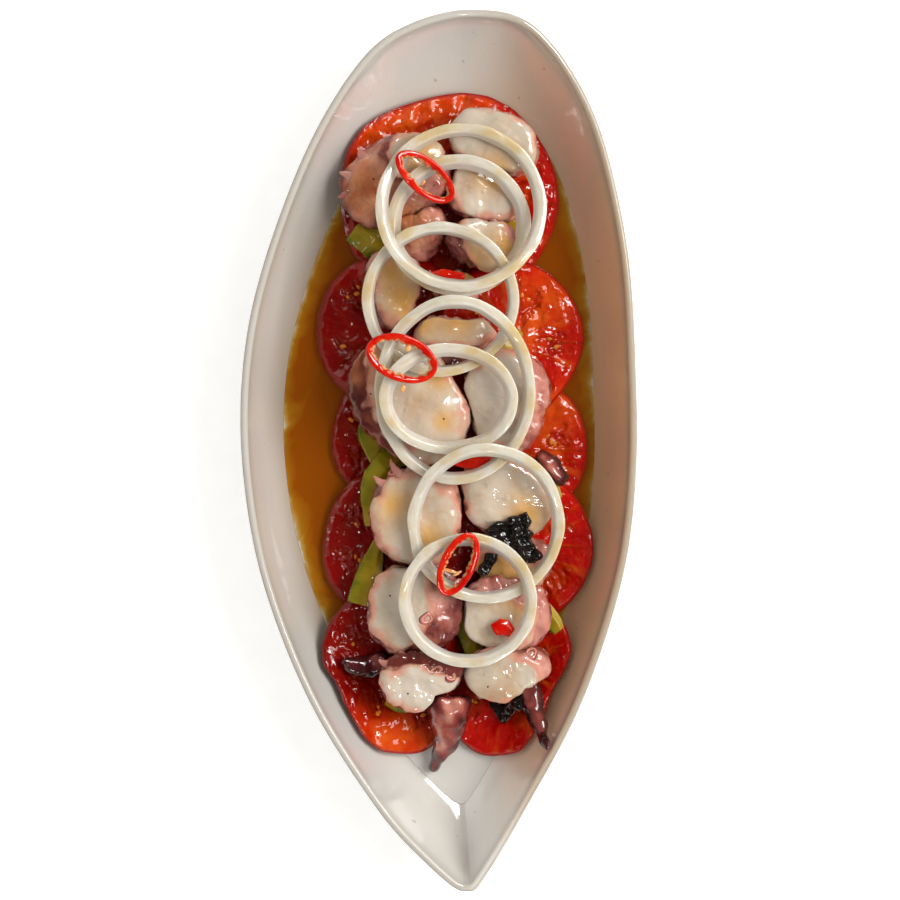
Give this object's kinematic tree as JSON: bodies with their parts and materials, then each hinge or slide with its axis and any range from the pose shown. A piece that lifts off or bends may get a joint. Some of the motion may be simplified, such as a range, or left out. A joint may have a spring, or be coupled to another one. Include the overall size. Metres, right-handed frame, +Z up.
{
  "type": "octopus salad",
  "caption": "Octopus salad in a long leaf-shaped dish: thick arm slices in two rows on tomato and avocado, in dressing, with onion and chilli rings on top.",
  "frame": {"origin": "on the table under the middle of the dish, at the centre of the object's box seen from above", "axes": "+Y along the dish towards its round end, -Y towards its pointed end, +Z up, +X to the right in the picture"},
  "size_m": [0.162, 0.3602, 0.0599],
  "materials": {
    "dish": "glossy off-white glaze with a thin brown edge",
    "dressing": "clear amber oil and tomato juice, very glossy",
    "tomato": "wet cut tomato, red flesh with orange streaks and seed chambers",
    "avocado": "soft yellow-green flesh",
    "octopus_skin": "wet purple-brown skin of the thin arm ends",
    "octopus": "wet white flesh with thin pink skin",
    "seaweed": "black wrinkled wet scraps",
    "onion": "milky raw onion, wet with oil",
    "chilli": "bright red wet chilli"
  },
  "bodies": {
    "root": {"dish": "dish", "dressing": "dressing", "tomato_left_3": "tomato", "tomato_right_3": "tomato", "tomato_end": "tomato", "tomato_left_4": "tomato", "tomato_right_4": "tomato", "tomato_left_2": "tomato", "tomato_right_2": "tomato", "tomato_left_5": "tomato", "tomato_right_5": "tomato", "avocado_1": "avocado", "avocado_2": "avocado", "avocado_3": "avocado", "avocado_4": "avocado", "avocado_5": "avocado", "avocado_6": "avocado", "avocado_7": "avocado", "avocado_8": "avocado", "avocado_9": "avocado", "avocado_10": "avocado", "arm_tip_front": "octopus_skin", "arm_tip_right": "octopus_skin", "arm_tip_left": "octopus_skin", "arm_tip_side": "octopus_skin", "octopus_1": "octopus", "octopus_2": "octopus", "octopus_3": "octopus", "octopus_4": "octopus", "octopus_5": "octopus", "octopus_6": "octopus", "octopus_7": "octopus", "octopus_8": "octopus", "octopus_9": "octopus", "octopus_10": "octopus", "octopus_11": "octopus", "octopus_12": "octopus", "octopus_13": "octopus", "octopus_14": "octopus", "octopus_15": "octopus", "octopus_16": "octopus", "octopus_17": "octopus", "seaweed_1": "seaweed", "seaweed_2": "seaweed", "seaweed_3": "seaweed", "onion_ring_1": "onion", "onion_ring_2": "onion", "onion_ring_3": "onion", "onion_ring_4": "onion", "onion_ring_5": "onion", "onion_ring_6": "onion", "onion_ring_7": "onion", "chilli_ring_1": "chilli", "chilli_ring_2": "chilli", "chilli_ring_3": "chilli", "chilli_piece_1": "chilli", "chilli_piece_2": "chilli", "chilli_piece_3": "chilli"}
  },
  "joints": []
}
